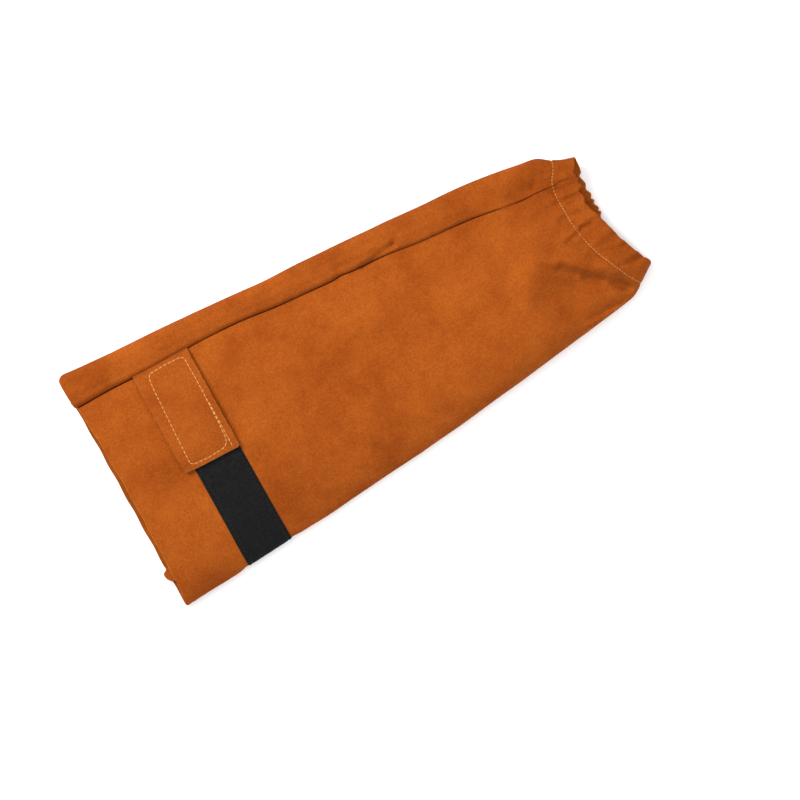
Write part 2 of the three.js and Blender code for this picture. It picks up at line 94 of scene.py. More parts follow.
# The table: a plain white laminate top, so large that no edge of it shows. It lies a hair
# under the sleeve, so that leather and laminate never share a plane.
TABLE_WIDTH = 9
TABLE_GAP = 0.0003


def linear(colour):
    """An sRGB hex value as linear red, green, blue and alpha"""
    parts = [(colour >> shift & 255) / 255 for shift in (16, 8, 0)]
    return [c / 12.92 if c <= 0.04045 else ((c + 0.055) / 1.055) ** 2.4 for c in parts] + [1]


def put(tree, kind, sockets=(), **settings):
    """Adds a node with its settings; a socket takes a value, or a link from another node"""
    made = tree.nodes.new("ShaderNode" + kind)
    for name, value in settings.items():
        setattr(made, name, value)
    for name, value in dict(sockets).items():
        if isinstance(value, bpy.types.NodeSocket):
            tree.links.new(value, made.inputs[name])
        else:
            made.inputs[name].default_value = value
    return made


def start_material(name):
    """A new material with its node tree and its shader"""
    material = bpy.data.materials.new(name)
    material.use_nodes = True
    return material, material.node_tree, material.node_tree.nodes["Principled BSDF"]


table_finish, tree, shader = start_material("matt_white_laminate")
shader.inputs["Base Color"].default_value = linear(0xF9F9F9)
shader.inputs["Roughness"].default_value = 0.9
shader.inputs["Specular IOR Level"].default_value = 0.1

bpy.ops.object.select_all(action="DESELECT")
bpy.ops.mesh.primitive_grid_add(
    x_subdivisions=4, y_subdivisions=4, size=TABLE_WIDTH, location=(0, 0, -TABLE_GAP)
)
table = bpy.context.object
table.name = "table_top"
table.data.materials.append(table_finish)


# Front panel: split leather 1.4 mm thick, the half of the tapering tube that faces up.
# It is cut in one piece, wraps under the near edge to the second seam, and its hem is
# turned in over elastic at the cuff, which gathers it.

# Lengths are in millimetres from here on
LENGTH = 447.0  # mouth edge to cuff edge, along the middle
MOUTH = 214.0  # across the mouth, lying flat
CUFF = 103.0  # across the gathered cuff, lying flat
LIE_HEIGHT = 27.0  # highest crown of the sleeve as it lies
LEATHER = 1.4  # thickness of the split leather
CLEARANCE = 0.3  # gap between pieces that touch
BEND = LEATHER + 0.3  # outer radius where the leather is turned right over
ALLOWANCE = 8.0  # leather turned in at each seam
RIDGE_WIDTH = 27.0  # roll of leather beyond the ridge seam
RIDGE_RISE = 7.6  # height of that roll's open bend, over a flat turn
RIDGE_PRESSED = 1.6  # outer radius of its turn where it is pressed flat, towards the cuff
SECOND_SEAM_IN = 30.5  # second seam from the near edge, at the mouth
SECOND_SEAM_TAPER = 0.56  # share by which it comes nearer to the edge at the cuff
HEM_DEPTH = 23.0  # hem stitching to cuff edge
HEM_THICK = 2 * LEATHER + 0.8  # two layers, with the elastic between them
SWEEP_NEAR = 20.0  # how far the cuff's near corner stands out past its middle
SWEEP_FAR = 7.5  # the same at its far corner
MOUTH_RUN = 20.0  # length in which the mouth's uneven edge evens out
MOUTH_BOW = 4.4  # how far the front panel's edge stands back in the middle of the mouth
UNDER_OUT = 1.0  # how far the underside stands out of the mouth
ROLL_OUT = 1.9  # how far the roll does
NUB_OUT = 4.5  # how far the second seam's end does
BAND_FROM = 59.8  # mouth edge to the loop band
BAND_WIDTH = 42.0
BAND_SHOULDER = 9.0  # length in which the leather rises beside the band, at the near edge
TAPE = 0.95  # thickness of the loop tape and of the hook tape
TAPE_GAP = 0.05  # gap between the loop tape and the leather
MOUTH_WAVER = 0.3  # how far the mouth's cut edge wanders
MOUTH_WORN, MOUTH_WORN_RUN = 0.6, 0.8  # how deep and how far in it is worn off
RUFFLE, RUFFLE_COUNT = 0.8, 23  # how far the gathered edge stands in and out, and how often
GATHER_ASIDE = 0.7  # share of the gathers' rise at the two edges, where it goes sideways
ELBOW = 240.0  # mouth edge to the elbow, where the seam jogs

# Places in the round, as shares of it, from the ridge seam over the front panel
NEAR_EDGE, NEAR_FLOOR, SECOND_SEAM = 0.42, 0.45, 0.49
FAR_FLOOR, FAR_EDGE, ROLL_TOP = 0.93, 0.95, 0.97

# The tube from mouth to cuff. along: share of the length; taper: share of the way from mouth
# width to cuff width; near: near edge as a share of the width; ridge: share of the ridge width;
# rise: share of the ridge rise; seat, crown and fold: shares of the lie height; lean: how far
# the crown leans to the near side; lip: how much of the step beside the ridge is filled
SHAPE = {
    "along": [0, 0.1, 0.2, 0.3, 0.4, 0.5, 0.6, 0.715, 0.805, 0.885, 0.918, 0.949, 1],
    "taper": [0, 0.056, 0.103, 0.155, 0.226, 0.273, 0.34, 0.434, 0.536, 0.65, 0.705, 0.833, 1],
    "near": [-0.5, -0.502, -0.5, -0.5, -0.502, -0.494]
    + [-0.489, -0.48, -0.466, -0.469, -0.468, -0.469, -0.447],
    "ridge": [1.11, 0.98, 0.93, 0.84, 0.83, 0.95, 0.92, 1.0, 1.03, 0.97, 0.88, 0.65, 0.5],
    "rise": [1, 0.86, 0.8, 0.72, 0.72, 0.7, 0.68, 0.62, 0.56, 0.32, 0.16, 0.05, 0],
    "seat": [0.3, 0.3, 0.3, 0.3, 0.3, 0.31, 0.34, 0.39, 0.45, 0.55, 0.61, 0.66, 0.72],
    "crown": [0.8, 0.77, 0.74, 0.72, 0.72, 0.73, 0.76, 0.82, 0.88, 0.93, 0.93, 0.91, 0.88],
    "fold": [0.37, 0.35, 0.33, 0.33, 0.33, 0.35, 0.37, 0.41, 0.46, 0.5, 0.52, 0.52, 0.52],
    "lean": [0.75, 0.75, 0.75, 0.75, 0.78, 0.82, 0.9, 1.05, 1.25, 1.45, 1.5, 1.45, 1.3],
    "lip": [0, 0, 0, 0, 0, 0, 0, 0, 0, 0.25, 0.5, 0.75, 0.8],
}
# Gathers: folds in the whole round, height, reach as a share of the length, start
GATHERS = [(17, 1.21, 0.07, 0.1), (11, 0.99, 0.13, 0.62), (7, 1.1, 0.22, 0.35)]
# Folds of the top, seen from above: from x and y to x and y, half width, height
FOLDS = [
    # the crest and the valley beside the cuff's near corner
    (388, 1, 433, -33, 9.0, 3.4),
    (433, -33, 455, -46, 8.0, 2.4),
    (400, -14, 408, -23, 3.6, -4.4),
    (415, -30, 425, -38, 4.2, -6.2),
    (432, -44, 440, -53, 4.2, -6.0),
    (394, -30, 443, -51, 10.0, -2.8),
    # puckers across the hem's stitching
    (414, 1, 428, 4, 2.4, -2.7),
    (430, 6, 438, 5, 2.2, -2.0),
    (430, 10, 446, 11, 3.2, 2.2),
    (420, -6, 434, -5, 3.0, -1.2),
    (428, -13.5, 450, -11.4, 5.0, -2.2),
    (432, -20, 452, -23, 2.6, -1.9),
    (442, -30, 460, -33, 2.0, 1.3),
    (442, -36, 460, -38, 2.2, -2.0),
    (418, 19, 438, 18, 2.6, -1.7),
    (422, 33, 444, 31, 2.8, -2.0),
    (426, 26, 446, 25, 2.4, 0.9),
    (424, 41, 446, 40, 2.4, -1.3),
    (404, 30, 424, 36, 4.0, -1.0),
    (397, 58, 410, 54, 6.0, -1.8),
    (411, 53, 416, 60, 2.4, -1.2),
    (424, 60, 437, 56, 2.4, -0.7),
    # the kink and the branching crease on the roll
    (258, 65, 290, 69, 2.2, -2.0),
    (288, 68, 297, 75, 2.4, -1.8),
    (236, 66, 243, 73, 3.5, -1.2),
    # the dent beyond the elbow
    (350, 44, 376, 12, 7.0, -1.7),
]


def smooth(t):
    """0 up to t 0 and 1 from t 1, with a soft rise between them"""
    t = np.clip(t, 0, 1)
    return t * t * (3 - 2 * t)


def mix(a, b, t):
    """From a, at t 0, to b, at t 1"""
    return a + (b - a) * t


def column(key, along):
    """A column of the shape at a share of the length, along smooth curves through its rows"""
    at, value = np.array(SHAPE["along"]), np.array(SHAPE[key], float)
    k = np.arange(len(at))
    before, after = np.maximum(k - 1, 0), np.minimum(k + 1, len(at) - 1)
    slope = (value[after] - value[before]) / (at[after] - at[before])
    i = np.searchsorted(at[1:-1], along)
    span = at[i + 1] - at[i]
    t = (along - at[i]) / span
    ends = (2 * t**3 - 3 * t**2 + 1) * value[i] + (3 * t**2 - 2 * t**3) * value[i + 1]
    return ends + span * ((t**3 - 2 * t**2 + t) * slope[i] + (t**3 - t**2) * slope[i + 1])


def section(x):
    """The named places and heights of the cross-sections at stations x"""
    s = {key: column(key, x / LENGTH) for key in SHAPE if key != "along"}
    s["width"] = mix(MOUTH, CUFF, s["taper"])
    s["near"] = s["near"] * s["width"]
    s["far"] = s["near"] + s["width"]
    s["ridge"] = s["ridge"] * RIDGE_WIDTH
    s["curl"] = BEND + 0.5 * s["rise"] * RIDGE_RISE
    s["seat"] = s["seat"] * LIE_HEIGHT
    # the seam isn't quite straight, and it jogs by a millimetre at the elbow
    jog = 0.45 * np.sin(x / 13) * np.sin(x / 41) + np.exp(-(((x - ELBOW) / 6) ** 2))
    s["crease"] = s["far"] - s["ridge"] + jog * (1 - smooth((x - 380) / 40))
    s["roll"] = s["seat"] + CLEARANCE + 2 * s["curl"]
    # towards the cuff the ridge is pressed flat, so that its turn is tight
    s["curl"] = mix(s["curl"], RIDGE_PRESSED, smooth((x - 325) / 65))
    s["seat"] = s["roll"] - CLEARANCE - 2 * s["curl"]
    s["crown"] = s["crown"] * LIE_HEIGHT
    s["edge"] = 0.5 * s["fold"] * LIE_HEIGHT
    s["seam"] = s["near"] + SECOND_SEAM_IN * (1 - SECOND_SEAM_TAPER * s["taper"])
    # the leather swells up beside the ridge seam, and in the hem it is sewn flat, so that
    # the step there narrows to a groove and closes
    to_cuff = smooth((x - 330) / 60)
    s["lip"] = mix(mix(0.74, 0.6, smooth(x / 140)), 1, to_cuff)
    s["lip_run"] = mix(3.0, 0.35, to_cuff)
    s["groove"] = mix(0.12, -0.09, smooth((x - 345) / 60))
    return {key: np.asarray(value)[..., None] for key, value in s.items()}


def gather(x, around):
    """Rise of the gathered leather, and its rise off the table underneath, where it can only
    lift; around is the place in the round, from the ridge seam over the front panel"""
    rise, most = 0, 0
    for count, height, reach, turn in GATHERS:
        run = reach * LENGTH
        fade = smooth((x - (LENGTH - HEM_DEPTH - run)) / run)
        uneven = 0.15 * np.sin(2 * np.pi * 3 * around)
        rise = rise + height * fade * np.cos(2 * np.pi * (count * around + turn + uneven))
        most = most + height * fade
    # on top the gathers are flatter
    calm = 1 - 0.55 * smooth((0.46 - around) / 0.03) * smooth(1 - around / 3)
    return rise * calm, 0.5 * (rise + most)


def soft_folds(x, y):
    """Rise of the top along its folds, and its drop beyond the fold at the cuff's near corner"""
    # the crest of that fold starts here, and runs this way to the near corner
    start_x, start_y, way_x, way_y = 400, -12, 0.751, -0.661
    along = (x - start_x) * way_x + (y - start_y) * way_y
    beside = (x - start_x) * way_y - (y - start_y) * way_x
    # it fades out at both ends and towards the body
    fade = smooth((along + 25) / 25) * (1 - smooth((along - 55) / 14))
    fade = fade * (1 - smooth((beside - 26) / 26))
    # the leather drops right beside the crest and on over the face below, up to the near edge
    drop = 4.6 * smooth((beside + 1) / 8) + 3.6 * smooth(beside / 30)
    rise = -drop * fade * smooth((y + 67) / 5)
    for ax, ay, bx, by, half, height in FOLDS:
        long = math.hypot(bx - ax, by - ay)
        t = ((x - ax) * (bx - ax) + (y - ay) * (by - ay)) / long**2
        beyond = np.maximum(np.maximum(-t, t - 1), 0) * long
        aside = ((x - ax) * (by - ay) - (y - ay) * (bx - ax)) / long
        rise = rise + height * np.exp(-(aside**2 + beyond**2) / half**2)
    return rise


def sweep(x, y):
    """Slant of the cuff: the corners stand out further than its middle"""
    end = section(np.array(LENGTH))
    near, far = end["near"][0], end["far"][0]
    # the cuff stands back furthest at two thirds of its width; the slant begins at 0.67 of the
    # length and is whole 0.27 further on
    middle = near + 0.66 * (far - near)
    fade = smooth((x / LENGTH - 0.67) / 0.27)
    share = np.where(y < middle, (y - middle) / (near - middle), (y - middle) / (far - middle))
    # the tube is wider than the cuff, so beyond the cuff's far corner the slant goes on evenly
    at_far = SWEEP_FAR * np.minimum(share, 1) ** 5 + 16 * np.maximum(share - 1, 0)
    return np.where(y < middle, SWEEP_NEAR * share**2, at_far) * fade


def top_height(s, v):
    """Height of the panel's top from the ridge seam, v 0, to the near edge, v 1"""
    # beside the seam the leather rises from its allowance to the lip
    run = v * (s["crease"] - s["near"])
    swollen = np.where(run > 0, 1 - s["groove"] * np.exp(-run / s["lip_run"]), 0)
    start = s["seat"] + s["lip"] * (s["roll"] - s["seat"]) * swollen
    # it comes down to the near edge like a root, and swells to the crown where v is `at`
    down = np.sqrt(np.maximum(1 - v, 0))
    at = s["lean"] / (s["lean"] + 0.5)
    at_down = np.sqrt(1 - at)
    swell = s["crown"] - s["edge"] - (s["seat"] - s["edge"]) * at_down
    swell = swell / (at ** s["lean"] * at_down)
    return s["edge"] + (start - s["edge"]) * down + swell * v ** s["lean"] * down


def stretch(y, z, around, under=0, stack=0, hem=0, rim=0, pull=0, facing=(np.nan, np.nan)):
    """One stretch of the cross-sections: its places, how far it belongs to the underside, to a
    seam's stack and to the hem, how far it stands back at the mouth, and how far the band pulls"""
    parts = [y, z, around, under, stack, hem, rim, pull, facing[0], facing[1]]
    return np.stack(np.broadcast_arrays(*[np.asarray(p, float) for p in parts]))


def steps(count, first=1, last=None):
    """Shares of a stretch, from its first step to its last"""
    return np.arange(first, (count if last is None else last) + 1) / count


def front_sections(x):
    """Cross-sections of the front panel, from the ridge seam over the top to the second seam"""
    s = section(x)
    tip = 0.06  # share of the top that bends down to the near edge
    # the allowance under the ridge
    t = steps(3, 0)
    y = s["crease"] + ALLOWANCE * (1 - t)
    parts = [stretch(y, s["seat"], 0, stack=1, facing=(0, 1))]
    # the top, with its points closer at the ends
    t = steps(116)
    v = (1 - tip) * mix(t, smooth(t), 0.45)
    y = mix(s["crease"], s["near"], v)
    # towards the cuff it leans over the groove, up to the ridge
    beside = np.exp(-(((s["crease"] - y - LEATHER) / 1.2) ** 2))
    over = 0.3 * s["curl"] * smooth((x - 335) / 50)[:, None] * beside
    rim = MOUTH_BOW * np.sin(np.pi * v) ** 0.5
    pull = smooth((v - 0.8) / 0.15)
    hem = smooth(v / 0.1)
    z = top_height(s, v)
    parts.append(stretch(y + over, z, NEAR_EDGE * v, hem=hem, rim=rim, pull=pull))
    # its last share
    v = 1 - tip * (1 - steps(8)) ** 2
    y = mix(s["crease"], s["near"], v)
    parts.append(stretch(y, top_height(s, v), NEAR_EDGE * v, hem=1, pull=1))
    # the bend round the near edge
    t = steps(10)
    reach = s["edge"] + 1
    y = s["near"] + reach * (1 - np.cos(np.pi / 2 * t))
    z = s["edge"] * (1 - np.sin(np.pi / 2 * t))
    around = mix(NEAR_EDGE, NEAR_FLOOR, t)
    parts.append(stretch(y, z, around, under=t, hem=1, rim=-UNDER_OUT * t, pull=1))
    # the underside, up to the second seam; the band ends on it
    t = steps(14, last=13)
    floor_end = s["seam"] - BEND
    pull = 1 - smooth((t - 0.75) / 0.25)
    y = mix(s["near"] + reach, floor_end, t)
    around = mix(NEAR_FLOOR, SECOND_SEAM, t)
    parts.append(stretch(y, 0, around, under=1, hem=1 - t, rim=-UNDER_OUT, pull=pull))
    # the turn at the second seam, and the allowance
    t = steps(6, 0)
    turn = np.pi * (t - 0.5)
    facing = (np.cos(turn), np.sin(turn))
    y, z = floor_end + BEND * facing[0], BEND * (1 + facing[1])
    rim = -mix(UNDER_OUT, NUB_OUT, np.sqrt(smooth(t)))
    parts.append(stretch(y, z, SECOND_SEAM, under=1, stack=1, rim=rim, facing=facing))
    t = steps(3)
    y = mix(floor_end, s["seam"] - ALLOWANCE, t)
    rim = -NUB_OUT * np.sqrt(np.maximum(1 - 1.6 * t**2, 0))
    parts.append(stretch(y, 2 * BEND, SECOND_SEAM, under=1, stack=1, rim=rim, facing=(0, 1)))
    return np.concatenate(parts, axis=2)


def outline_facing(y, z, own_y=np.nan, own_z=np.nan):
    """Directions in which the cross-sections face, unless a place has its own"""
    y_row = np.concatenate([y[:, :1], y, y[:, -1:]], axis=1)
    z_row = np.concatenate([z[:, :1], z, z[:, -1:]], axis=1)
    dy, dz = y_row[:, 2:] - y_row[:, :-2], z_row[:, 2:] - z_row[:, :-2]
    long = np.hypot(dy, dz)
    free = np.isnan(own_y)
    return np.where(free, dz / long, own_y), np.where(free, -dy / long, own_z)


def hide_life(x, y, around):
    """The small unevenness of a worn hide: slow waves, puckers and a groove where the hem is
    sewn, and the lumps of the elastic inside it"""
    wave_high, ripple_high, pucker_high, groove_deep, lump_high = 0.34, 0.2, 0.2, 0.6, 0.5
    slow = wave_high * np.sin(x / 23 + 0.7 * np.sin(y / 31)) * np.sin(y / 19 + x / 67)
    ripple = ripple_high * np.sin(x / 9.5 + 1.3 * np.sin(y / 15)) * np.sin(y / 11.5 - x / 29 + 2)
    slow = slow + ripple
    from_hem = x - (LENGTH - HEM_DEPTH)
    pucker = np.cos(2 * np.pi * (33 * around + 0.3 * np.sin(2 * np.pi * 5 * around)))
    pucker = pucker + 0.6 * np.cos(2 * np.pi * (21 * around + 0.2))
    pucker = pucker_high * np.exp(-((from_hem / 8.0) ** 2)) * pucker
    groove = -groove_deep * np.exp(-((from_hem / 1.4) ** 2))
    lumps = lump_high + lump_high * np.sin(2 * np.pi * 9 * around + 1) * np.sin(from_hem / 5)
    return slow + pucker + groove + smooth((from_hem - 1) / 6) * lumps


def lay_panel(x, sections, set_back):
    """Outer and inner surface of a panel at stations x; set_back says how much shorter it ends"""
    y, z, around, under, stack, hem, rim, pull, own_y, own_z = sections(x)
    x = np.broadcast_to(x[:, None], y.shape)
    # what lifts the leather, and what moves it in or out of its surface
    flat_y, flat_z = outline_facing(y, z, own_y, own_z)
    rise, rise_under = gather(x, around)
    lift = mix(rise + soft_folds(x + sweep(x, y), y), rise_under, under)
    outside = np.maximum(np.maximum(BAND_FROM - x, x - BAND_FROM - BAND_WIDTH), 0)
    pull = (TAPE + TAPE_GAP) * (1 - smooth(outside / BAND_SHOULDER)) * pull
    life = hide_life(x, y, around) * (1 - stack) * mix(1, 0.25, under)
    # under the band the leather lies flatter, and nothing goes below the table
    life = life * smooth(0.2 + outside / 12)
    y2 = y + np.where(stack > 0, 0, GATHER_ASIDE * rise * flat_y) + (life - pull) * flat_y
    z2 = z + lift + np.maximum((life - pull) * flat_z, -z - lift)
    face_y, face_z = outline_facing(y2, z2, own_y, own_z)
    # how far along the sleeve each point lies: the uneven mouth, then the ruffled cuff
    place = x + sweep(x, y) + rim * (1 - smooth(x / MOUTH_RUN))
    waver = MOUTH_WAVER * np.sin(2 * np.pi * 13 * around + 1) * (1 - smooth(x / 9))
    place = place + waver * (1 - stack)
    from_end = LENGTH - x
    in_end = np.maximum(1 - from_end / HEM_DEPTH, 0)
    ruffled = 0.15 + smooth((0.15 - around) / 0.04) + smooth((around - 0.64) / 0.06)
    uneven = 0.35 * np.sin(2 * np.pi * 4 * around)
    ruffle = RUFFLE * np.cos(2 * np.pi * (RUFFLE_COUNT * around + uneven))
    place = place + in_end * ruffle * ruffled - set_back(around) * smooth(in_end * 1.3)
    # the thickness, with a rounded rim at the cuff
    in_hem = smooth((x - (LENGTH - HEM_DEPTH)) / 2) * hem
    thick = mix(LEATHER, HEM_THICK, in_hem)
    radius = 0.49 * thick
    left = np.clip(1 - from_end / radius, 0, 1)
    inset = radius * (1 - np.sqrt(1 - left**2))
    # the raw edge at the mouth is a little worn off, so that its paler cut shows from above
    worn = MOUTH_WORN * np.clip(1 - x / MOUTH_WORN_RUN, 0, 1) ** 1.5
    outer_in, inner_in = inset + worn, thick - inset - 0.2 * worn
    outer = np.stack([place, y2 - outer_in * face_y, z2 - outer_in * face_z], axis=2)
    inner = np.stack([place, y2 - inner_in * face_y, z2 - inner_in * face_z], axis=2)
    return outer, inner


SMOOTH_UP_TO = math.radians(42)


def sheet_mesh(name, outer, inner, materials, raw_rows=0):
    """A closed sheet from its two surfaces: cut edges and the first rows take the second
    material, and the inside takes the third"""
    rows, columns = outer.shape[:2]
    points = np.concatenate([outer.reshape(-1, 3), inner.reshape(-1, 3)])
    points = (points + [shift_x, 0, 0]) / 1000
    top = np.arange(rows * columns).reshape(rows, columns)
    low = top + rows * columns
    faces = [
        np.stack([top[:-1, :-1], top[:-1, 1:], top[1:, 1:], top[1:, :-1]], axis=2).reshape(-1, 4),
        np.stack([low[:-1, :-1], low[1:, :-1], low[1:, 1:], low[:-1, 1:]], axis=2).reshape(-1, 4),
        np.stack([top[:-1, 0], top[1:, 0], low[1:, 0], low[:-1, 0]], axis=1),
        np.stack([top[:-1, -1], low[:-1, -1], low[1:, -1], top[1:, -1]], axis=1),
        np.stack([top[0, :-1], low[0, :-1], low[0, 1:], top[0, 1:]], axis=1),
        np.stack([top[-1, :-1], top[-1, 1:], low[-1, 1:], low[-1, :-1]], axis=1),
    ]
    # outer and inner surface take the first material, the four edges the second
    slots = [np.full(len(part), int(k > 1), np.int32) for k, part in enumerate(faces)]
    slots[0][: raw_rows * (columns - 1)] = 1
    mesh = bpy.data.meshes.new(name)
    mesh.from_pydata(points.tolist(), [], np.concatenate(faces).tolist())
    for material in materials:
        mesh.materials.append(material)
    if len(materials) > 2:
        slots[1][:] = 2
    if len(materials) > 1:
        mesh.polygons.foreach_set("material_index", np.concatenate(slots))
    obj = bpy.data.objects.new(name, mesh)
    scene.collection.objects.link(obj)
    bpy.ops.object.select_all(action="DESELECT")
    obj.select_set(True)
    bpy.context.view_layer.objects.active = obj
    bpy.ops.object.shade_smooth_by_angle(angle=SMOOTH_UP_TO)
    return obj


def per_mm(size):
    """Scale of a pattern whose features are this many millimetres wide, on metres"""
    return 1000 / size


def ramp(tree, factor, stops):
    """A colour ramp: its stops are places and linear colours"""
    made = put(tree, "ValToRGB", {"Fac": factor})
    bar = made.color_ramp.elements
    while len(bar) < len(stops):
        bar.new(0.5)
    for element, (place, colour) in zip(bar, stops):
        element.position = place
        element.color = colour
    return made.outputs["Color"]


def noise(tree, place, size, detail, roughness, distortion=0.0):
    """Noise whose features are this many millimetres wide"""
    sockets = {"Vector": place, "Scale": per_mm(size), "Detail": detail}
    sockets.update({"Roughness": roughness, "Distortion": distortion})
    return put(tree, "TexNoise", sockets).outputs["Fac"]


def tint(tree, colour, by):
    """A colour multiplied by another; on these sockets the mixer takes its colours"""
    sockets = {0: 1.0, 6: colour, 7: by}
    return put(tree, "Mix", sockets, data_type="RGBA", blend_type="MULTIPLY").outputs[2]


def split_leather(name, deep, body, pale):
    """Split-leather suede: both faces are brushed to a short nap, which reads as quite matt,
    clouded in patches of a few centimetres and speckled by the lie of the fibres"""
    material, tree, shader = start_material(name)
    place = put(tree, "TexCoord").outputs["Object"]
    # patches of the hide, and smaller clouds where it was rubbed
    hide = noise(tree, place, 42, 3, 0.6)
    cloud = noise(tree, place, 8, 5, 0.7, 0.6)
    # the nap's fibres are about 0.2 mm; they are drawn 1.5 mm wide so that they show
    nap = noise(tree, place, 1.5, 6, 0.8)
    patches = ramp(tree, hide, [(0.32, linear(deep)), (0.5, linear(body)), (0.7, linear(pale))])
    clouds = ramp(tree, cloud, [(0.32, (0.91, 0.87, 0.8, 1)), (0.62, (1, 1, 1, 1))])
    speckle = ramp(tree, nap, [(0.38, (0.76, 0.7, 0.5, 1)), (0.62, (1.08, 1.12, 1.3, 1))])
    colour = tint(tree, tint(tree, patches, clouds), speckle)
    tree.links.new(colour, shader.inputs["Base Color"])
    low = put(tree, "Bump", {"Height": cloud, "Strength": 0.3, "Distance": 0.001})
    fine = {"Height": nap, "Strength": 0.6, "Distance": 0.0005, "Normal": low.outputs["Normal"]}
    tree.links.new(put(tree, "Bump", fine).outputs["Normal"], shader.inputs["Normal"])
    # matt, with a faint warm sheen from the nap
    shader.inputs["Roughness"].default_value = 0.95
    shader.inputs["Specular IOR Level"].default_value = 0.05
    shader.inputs["Sheen Weight"].default_value = 0.04
    shader.inputs["Sheen Roughness"].default_value = 0.5
    shader.inputs["Sheen Tint"].default_value = linear(0xFFB070)
    return material


shift_x = 1000 * cad_box[0][0] + NUB_OUT
suede_front = split_leather("split_leather_suede", 0x823C0E, 0x8E4513, 0x974C16)
# Where the leather is cut, the fibres stand open and undyed in part, which looks paler
cut_edge = split_leather("split_leather_cut_edge", 0x945022, 0xA8642F, 0xB4743C)
# Inside, the leather is painted a little paler than outside, as painted light that lifts the shade
# where the inside shows in the cuff's opening
inner_side = split_leather("split_leather_inner_side", 0x84410F, 0x944A13, 0xA05218)

# Stations along the sleeve, closest where the mouth is worn and where the cuff is rounded
stations = np.concatenate([
    [0, 0.3, 0.6, 0.9, 1.6],
    np.arange(3, 356, 2.5),
    np.arange(356, 410, 1.6),
    np.arange(410, LENGTH - 2, 1.0),
    LENGTH - np.array([1.9, 1.5, 1.1, 0.7, 0.35, 0.12, 0.0]),
])


def front_set_back(around):
    """At the cuff the top is drawn back where its gathers stand open"""
    opening = smooth((around - 0.03) / 0.02) * (1 - smooth((around - 0.125) / 0.03))
    return 1.2 + 3.0 * opening - 1.2 * smooth((around - 0.18) / 0.03)


front_outer, front_inner = lay_panel(stations, front_sections, front_set_back)
front_materials = [suede_front, cut_edge, inner_side]
front = sheet_mesh("suede_front_panel", front_outer, front_inner, front_materials, raw_rows=1)
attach(front, "root")
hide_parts("front_panel")


# Back panel: the same split leather, the half that lies on the table. It rolls up over the
# far edge, is turned under there and is sewn to the front panel along the ridge seam.
CORNER_RADIUS = 5.0  # of the mouth edge's far corner, seen from above


def far_corner(from_far):
    """How far the mouth edge stands back, beside its rounded far corner"""
    beside = np.clip(CORNER_RADIUS - from_far, 0, CORNER_RADIUS)
    return -ROLL_OUT + CORNER_RADIUS - np.sqrt(CORNER_RADIUS**2 - beside**2)


def back_sections(x):
    """Cross-sections of the back panel, from the second seam over the far edge to the ridge seam"""
    s = section(x)
    jog_width = 5  # in which the panel comes down from the second seam
    stack_top = 2 * BEND + CLEARANCE
    jog_start = s["seam"] - 0.5 * BEND
    # the allowance on the second seam, and the way down to the table
    t = steps(3, 0)
    y = mix(s["seam"] - ALLOWANCE, jog_start, t)
    rim = -NUB_OUT * np.sqrt(np.maximum(1 - 1.6 * (1 - t) ** 2, 0))
    parts = [stretch(y, stack_top, SECOND_SEAM, under=1, stack=1, rim=rim, facing=(0, -1))]
    t = steps(7)
    z = stack_top * (1 - smooth(t))
    rim = -mix(NUB_OUT, UNDER_OUT, smooth(1.4 * t) ** 2)
    parts.append(stretch(jog_start + jog_width * t, z, SECOND_SEAM, under=1, stack=1, rim=rim))
    # the underside
    low_reach = HEM_THICK + 5
    floor_end = s["far"] - low_reach
    t = steps(76)
    y = mix(jog_start + jog_width, floor_end, t)
    rim = -mix(UNDER_OUT, ROLL_OUT, smooth((t - 0.7) / 0.3))
    around = mix(SECOND_SEAM, FAR_FLOOR, t)
    parts.append(stretch(y, 0, around, under=1, hem=smooth(t / 0.1), rim=rim))
    # up round the far edge, and over it onto the roll
    half = 0.5 * s["roll"]
    t = steps(14)
    y = floor_end + low_reach * np.sin(np.pi / 2 * t)
    z = half * (1 - np.cos(np.pi / 2 * t))
    rim = np.maximum(far_corner(s["far"] - y), -ROLL_OUT)
    around = mix(FAR_FLOOR, FAR_EDGE, t)
    parts.append(stretch(y, z, around, under=1 - t, hem=1 - t, rim=rim))
    t = steps(12)
    roll_reach = 0.36 * s["ridge"]
    y = s["far"] - roll_reach * (1 - np.cos(np.pi / 2 * t))
    rim = far_corner(s["far"] - y)
    z = half * (1 + np.sin(np.pi / 2 * t))
    parts.append(stretch(y, z, mix(FAR_EDGE, ROLL_TOP, t), rim=rim))
    # the top of the roll
    t = steps(12, last=11)
    curl_start = s["crease"] + s["curl"]
    bulge = 0.03 * s["ridge"] * np.sin(np.pi * t) ** 2
    y = mix(s["far"] - roll_reach, curl_start, t)
    parts.append(stretch(y, s["roll"] + bulge, mix(ROLL_TOP, 1, t), rim=-ROLL_OUT))
    # its turn at the ridge seam, and the allowance under it
    t = steps(12, 0)
    turn = np.pi * (0.5 + t)
    facing = (np.cos(turn), np.sin(turn))
    z = s["roll"] - s["curl"] * (1 - facing[1])
    y = curl_start + s["curl"] * facing[0]
    parts.append(stretch(y, z, 1, stack=1, rim=-ROLL_OUT * (1 - t), facing=facing))
    t = steps(3)
    y = mix(curl_start, s["crease"] + ALLOWANCE, t)
    parts.append(stretch(y, s["seat"] + CLEARANCE, 1, stack=1, facing=(0, -1)))
    return np.concatenate(parts, axis=2)


def back_set_back(around):
    """At the cuff the underside stands out beyond the top, and the roll stands back"""
    under = smooth((around - 0.66) / 0.06) * (1 - smooth((around - 0.93) / 0.02))
    return 2.6 * smooth((around - 0.946) / 0.016) - 3.2 * under


